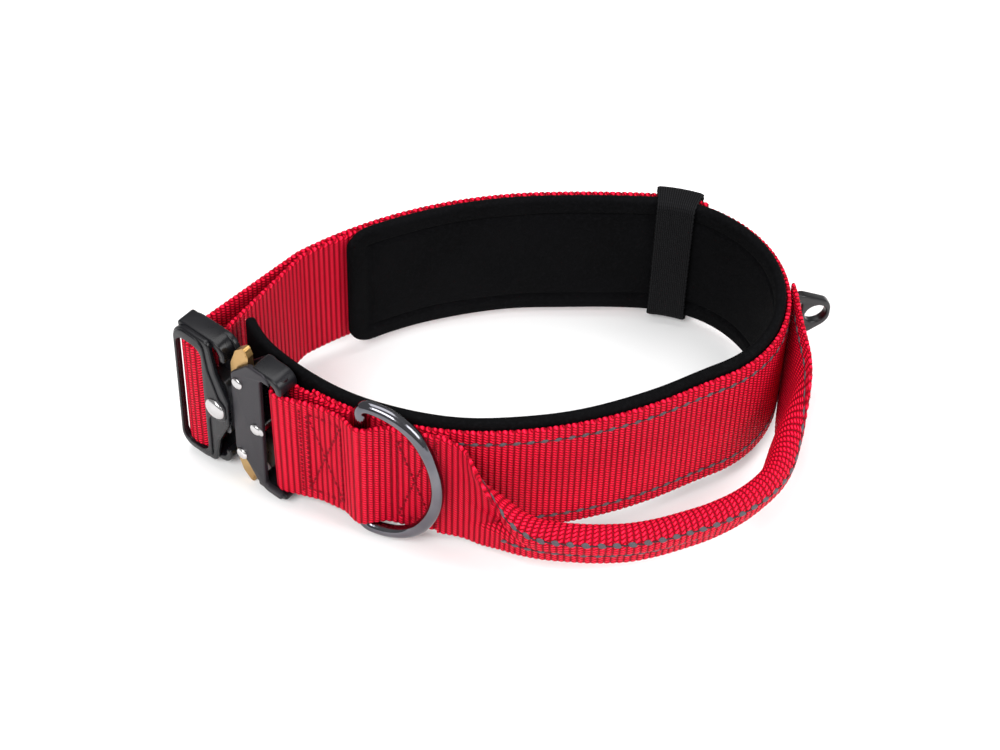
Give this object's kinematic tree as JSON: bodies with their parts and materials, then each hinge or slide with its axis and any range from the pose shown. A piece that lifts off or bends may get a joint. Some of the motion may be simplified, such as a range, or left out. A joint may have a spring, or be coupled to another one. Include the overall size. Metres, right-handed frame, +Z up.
{
  "type": "padded dog collar with quick-release buckle and handle",
  "caption": "Wide padded webbing dog collar with quick-release metal buckle, D-ring, control handle, strap keeper and small leash ring.",
  "frame": {"origin": "centre of the collar's footprint, on the surface that it stands on", "axes": "+Z up, +X along the neck opening away from the buckle, -Y towards the control handle"},
  "size_m": [0.2274, 0.1409, 0.0676],
  "materials": {
    "neoprene": "matt foam-backed cloth",
    "webbing": "ribbed woven tape",
    "thread": "twisted thread",
    "elastic": "woven elastic",
    "black_metal": "satin black coating",
    "steel": "brushed",
    "rivet": "polished",
    "latch_brass": "satin",
    "gunmetal": "dark nickel plate",
    "forged_black": "black"
  },
  "bodies": {
    "collar": {"neoprene_pad": "neoprene", "main_webbing": "webbing", "adjuster_loop": "webbing", "adjuster_tail": "webbing", "overlay_webbing": "webbing", "handle_webbing": "webbing", "leash_ring_loop": "webbing", "box_stitches": "thread", "female_body": "black_metal", "female_front_plate": "black_metal", "webbing_bar": "black_metal", "latch_pins": "rivet", "latch_springs": "steel", "stud": "rivet"},
    "male_half": {"male_frame": "black_metal", "slot_frame": "black_metal", "tongue": "steel", "tongue_rivet": "rivet"},
    "slide_bar": {"slide_bar": "black_metal"},
    "latch_top": {"latch_top": "latch_brass"},
    "latch_bottom": {"latch_bottom": "latch_brass"},
    "d_ring": {"d_ring": "gunmetal"},
    "leash_ring": {"leash_ring": "forged_black"},
    "keeper": {"keeper": "elastic"}
  },
  "joints": [
    {"name": "buckle_release", "type": "slide", "parent": "collar", "child": "male_half", "axis": [-0.788, 0.6157, 0], "range_m": [0, 0.025], "deforming": ["adjuster_loop"]},
    {"name": "slide_bar_travel", "type": "slide", "parent": "male_half", "child": "slide_bar", "axis": [0.788, -0.6157, 0], "range_m": [-0.0014, 0.0014], "deforming": ["adjuster_loop"]},
    {"name": "latch_top_press", "type": "hinge", "parent": "collar", "child": "latch_top", "pos_m": [-0.08823, -0.02036, 0.05161], "axis": [0.6157, 0.788, 0], "range_deg": [0, 7], "stiffness_Nm_per_rad": 0.05},
    {"name": "latch_bottom_press", "type": "hinge", "parent": "collar", "child": "latch_bottom", "pos_m": [-0.08823, -0.02036, 0.01561], "axis": [-0.6157, -0.788, 0], "range_deg": [0, 7], "stiffness_Nm_per_rad": 0.05},
    {"name": "d_ring_swing", "type": "hinge", "parent": "collar", "child": "d_ring", "pos_m": [-0.04791, -0.04262, 0.03481], "axis": [0, 0, 1], "range_deg": [-110, 0]},
    {"name": "leash_ring_swing", "type": "hinge", "parent": "collar", "child": "leash_ring", "pos_m": [0.09695, 0.03485, 0.03211], "axis": [0, 0, 1], "range_deg": [-65, 65]},
    {"name": "keeper_slide", "type": "hinge", "parent": "collar", "child": "keeper", "pos_m": [0.04897, 0.01976, 0.034], "axis": [0, 0, 1], "range_deg": [-8, 0]}
  ]
}
